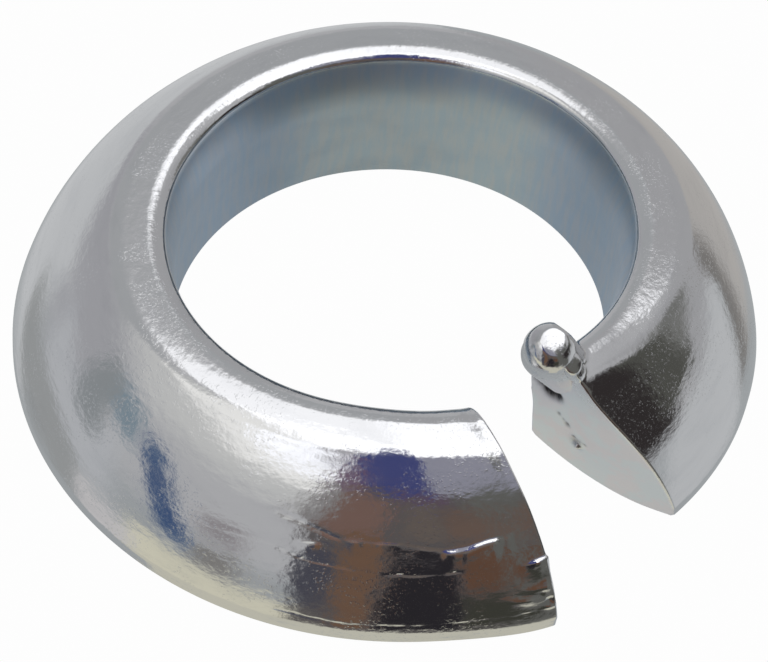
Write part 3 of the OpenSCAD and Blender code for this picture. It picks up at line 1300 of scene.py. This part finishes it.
CARDS = (
    Card("ceiling", (-200, 200), (61, 95), (1.5, 1.5, 1.52), 2),
    Card("ceiling_behind_left", (-174, -108), (54, 95), (1.2, 1.2, 1.22), 3),
    Card("ceiling_behind", (-200, -170), (46, 95), (1.35, 1.35, 1.38), 2.5),
    Card("ceiling_behind_right", (156, 200), (46, 95), (1.35, 1.35, 1.38), 2.5),
    Card("wall_behind_left", (-200, -100), (22, 49), (0.42, 0.43, 0.44), 5),
    Card("wall_left", (-150, -88), (-14, 22), (0.41, 0.41, 0.43), 6),
    Card("wall_behind_right", (100, 200), (-4, 46), (0.42, 0.42, 0.43), 5),
    Card("pale_left", (-98, -22), (28, 62), (0.62, 0.62, 0.61), 6),
    Card("window", (-92, -26), (41, 62), (1.0, 0.99, 0.96), 4),
    Card("window_core", (-60, -24), (49, 62), (1.35, 1.36, 1.42), 3),
    Card("pale_low_left", (-180, -118), (-40, 2), (0.6, 0.61, 0.62), 6),
    Card("streak_low_left", (-112, -72), (-20, 2), (0.52, 0.53, 0.55), 6),
    Card("shade_low_left", (-128, -84), (-34, -18), (0.36, 0.37, 0.37), 4),
    Card("cream_low", (-70, 60), (-60, -24), (0.62, 0.60, 0.50), 2),
    Card("cream_low_left", (-66, -20), (-29, -17), (0.72, 0.69, 0.55), 3),
    Card("shade_left", (-94, -82), (-6, 20), (0.29, 0.31, 0.32), 3),
    Card("glow_low_left", (-84, -64), (-38, -22), (0.64, 0.62, 0.62), 4),
    Card("teal_left", (-76, -66), (6, 22), (0.22, 0.29, 0.34), 4, -0.5),
    Card("blue_left", (-61.5, -52), (-12, 19), (0.09, 0.14, 0.24), 3, -0.55),
    Card("blue_left_core", (-59, -54), (-8, 12), (0.05, 0.09, 0.20), 2.5, -0.55),
    Card("rust_left", (-46, -34), (-2, 8), (0.30, 0.28, 0.29), 4),
    Card("rust_left_low", (-46, -34), (-16, -6), (0.24, 0.23, 0.22), 3),
    Card("shade_front", (-22, 44), (-27, 60), (0.11, 0.10, 0.10), 2),
    Card("shade_front_edge", (-27, -18), (24, 50), (0.25, 0.24, 0.24), 3),
    Card("shade_front_right", (38, 76), (-30, 60), (0.13, 0.13, 0.12), 4),
    Card("grey_top", (22, 60), (50, 72), (0.30, 0.30, 0.36), 3),
    Card("grey_top_left", (-40, -22), (56, 70), (0.45, 0.44, 0.46), 4),
    Card("blue_top", (-23, 22), (49, 79), (0.06, 0.07, 0.20), 2.5),
    Card("violet_top", (-26, -14), (46, 56), (0.15, 0.09, 0.14), 3),
    Card("violet_middle", (0, 30), (45, 50), (0.12, 0.08, 0.12), 3),
    Card("rust_column", (-19, -2), (22, 46), (0.19, 0.12, 0.10), 2.5),
    Card("grey_column", (5, 20), (24, 43), (0.14, 0.115, 0.10), 4),
    Card("rust_column_right", (22, 40), (22, 42), (0.15, 0.105, 0.085), 4),
    Card("grey_stripe", (-22, -12), (-15, 14), (0.07, 0.07, 0.09), 2),
    Card("orange_stripe", (-10, -1), (-22, 26), (0.17, 0.10, 0.065), 1.5),
    Card("dark_block", (1, 22), (-24, 15), (0.025, 0.023, 0.027), 1.5),
    Card("rust_low", (24, 39), (-3, 17), (0.13, 0.07, 0.045), 2),
    Card("green_low", (22, 42), (-22, -6), (0.05, 0.05, 0.04), 2),
    Card("dark_right", (68, 94), (-2, 34), (0.035, 0.03, 0.03), 4),
    Card("olive_right", (90, 108), (6, 28), (0.09, 0.09, 0.08), 3),
    Card("shade_right", (104, 124), (12, 34), (0.2, 0.2, 0.19), 4),
    Card("pale_right", (86, 128), (-40, -2), (0.57, 0.58, 0.59), 5),
    Card("line_right", (129, 139), (-34, 2), (0.22, 0.21, 0.20), 2.5),
    Card("warm_right", (137, 170), (-34, 4), (0.48, 0.46, 0.44), 5),
)


@dataclass(frozen=True)
class Viewpoint:
    """Where the camera stands, in degrees and millimetres round the washer."""

    azimuth: float = 30.397
    elevation: float = 49.138
    roll: float = 7.523
    distance: float = 135.532
    across: float = -0.46
    upward: float = -2.474
    aim_height: float = 3.5
    focal_pixels: float = 2896.396
    picture_width: int = 768
    sensor: float = 36.0

    def axes(self) -> Matrix:
        """Directions of the camera's right, up and back, as columns.

        Returns:
            A matrix of three columns.
        """
        e, roll = math.radians(self.elevation), math.radians(self.roll)
        back = Vector((0, -math.cos(e), math.sin(e)))
        level_up, level_right = Vector((0, math.sin(e), math.cos(e))), Vector((1, 0, 0))
        right = math.cos(roll) * level_right + math.sin(roll) * level_up
        up = math.cos(roll) * level_up - math.sin(roll) * level_right
        turned = Matrix.Rotation(math.radians(-self.azimuth), 3, "Z")
        return Matrix([turned @ right, turned @ up, turned @ back]).transposed()

    def build(self) -> None:
        """Makes the scene's camera."""
        axes = self.axes()
        right, up, back = axes.col
        aim = Vector((0, 0, self.aim_height)) + self.across * right + self.upward * up
        data = bpy.data.cameras.new("camera")
        data.sensor_width = self.sensor
        data.lens = self.focal_pixels / self.picture_width * self.sensor
        data.clip_start, data.clip_end = 0.01, 10
        camera = bpy.data.objects.new("camera", data)
        camera.matrix_world = Matrix.Translation((aim + self.distance * back) * MM) @ axes.to_4x4()
        bpy.context.scene.collection.objects.link(camera)
        bpy.context.scene.camera = camera


@dataclass(frozen=True)
class Studio:
    """Soft light all round, made of large pale and shaded cards, over a plain pale floor.

    horizon is the heights between which the light from below gives way to the light all round, and
    the wobbles bend the cards' edges sideways and up, each as [features, degrees].
    """

    viewpoint: Viewpoint
    ambient: tuple[float, float, float] = (0.50, 0.50, 0.51)
    below: tuple[float, float, float] = (0.40, 0.42, 0.43)
    horizon: tuple[float, float] = (-12, 2)
    side_wobble: tuple[float, float] = (2.2, 10)
    height_wobble: tuple[float, float] = (2.9, 8)
    floor_colour: tuple[float, float, float] = (0.985, 0.985, 0.985)
    floor_size: float = 0.9

    def build_light(self) -> None:
        """Makes the world's cards of light and shade."""
        world = bpy.data.worlds.new("studio")
        bpy.context.scene.world = world
        world.use_nodes = True
        # the cards are broad and soft, so no map of the brightest places is needed
        world.cycles.sampling_method = "NONE"
        g = Graph(world.node_tree)
        way = g.node("ShaderNodeTexCoord", {}, {}).outputs["Generated"]
        back = self.viewpoint.axes().col[2]
        front = Vector((back.x, back.y, 0)).normalized()
        left = Vector((0, 0, 1)).cross(front)
        dots = [
            g.signal("ShaderNodeVectorMath", "Value", {"operation": "DOT_PRODUCT"}, {0: way, 1: axis})
            for axis in (front, left, Vector((0, 0, 1)))
        ]
        sideways, upwards = [
            (g.grain(way, scale) - 0.5) * degrees
            for scale, degrees in (self.side_wobble, self.height_wobble)
        ]
        side = dots[1].angle_of(dots[0]) + sideways
        height = dots[2].arcsine() + upwards
        colour = g.mix(height.step(*self.horizon), (*self.below, 1), (*self.ambient, 1))
        for card in CARDS:
            leaning = side - height * card.lean if card.lean else side
            share = leaning.band(*card.sides, card.soft) * height.band(*card.heights, card.soft)
            colour = g.mix(share, colour, (*card.colour, 1))
        seen = g.signal("ShaderNodeLightPath", "Is Camera Ray", {}, {})
        colour = g.mix(seen, colour, (1, 1, 1, 1))
        light = g.node("ShaderNodeBackground", {}, {"Color": colour, "Strength": 1.0})
        g.node("ShaderNodeOutputWorld", {}, {"Surface": light.outputs[0]})

    def build_floor(self) -> None:
        """Lays the floor just under the washer."""
        half, low = self.floor_size / 2, CAD_BOX[0].z
        corners = [(-half, -half, low), (half, -half, low), (half, half, low), (-half, half, low)]
        mesh = bpy.data.meshes.new("floor")
        mesh.from_pydata(corners, [], [(0, 1, 2, 3)])
        floor = bpy.data.objects.new("floor", mesh)
        bpy.context.scene.collection.objects.link(floor)
        material = bpy.data.materials.new("floor")
        material.use_nodes = True
        g = Graph(material.node_tree)
        lit = g.node("ShaderNodeEmission", {}, {"Color": (*self.floor_colour, 1)}).outputs[0]
        clear = g.node("ShaderNodeBsdfTransparent", {}, {}).outputs[0]
        seen = g.signal("ShaderNodeLightPath", "Is Camera Ray", {}, {})
        surface = g.node("ShaderNodeMixShader", {}, {0: seen, 1: clear, 2: lit}).outputs[0]
        g.node("ShaderNodeOutputMaterial", {}, {"Surface": surface})
        material.cycles.emission_sampling = "NONE"
        mesh.materials.append(material)


def main() -> None:
    """Builds the washer, the studio and the camera."""
    logging.basicConfig(level=logging.INFO, format="%(message)s")
    washer = Washer(Sizes(), ZincPlate()).build()
    points, faces = len(washer.data.vertices), len(washer.data.polygons)
    log.info("%s: %d points, %d faces", washer.name, points, faces)
    viewpoint = Viewpoint()
    viewpoint.build()
    log.info("camera: %.1f mm away", viewpoint.distance)
    studio = Studio(viewpoint)
    studio.build_light()
    studio.build_floor()
    bpy.context.scene.view_settings.view_transform = "Standard"
    log.info("studio: %d cards and a floor", len(CARDS))


if __name__ == "__main__":
    main()
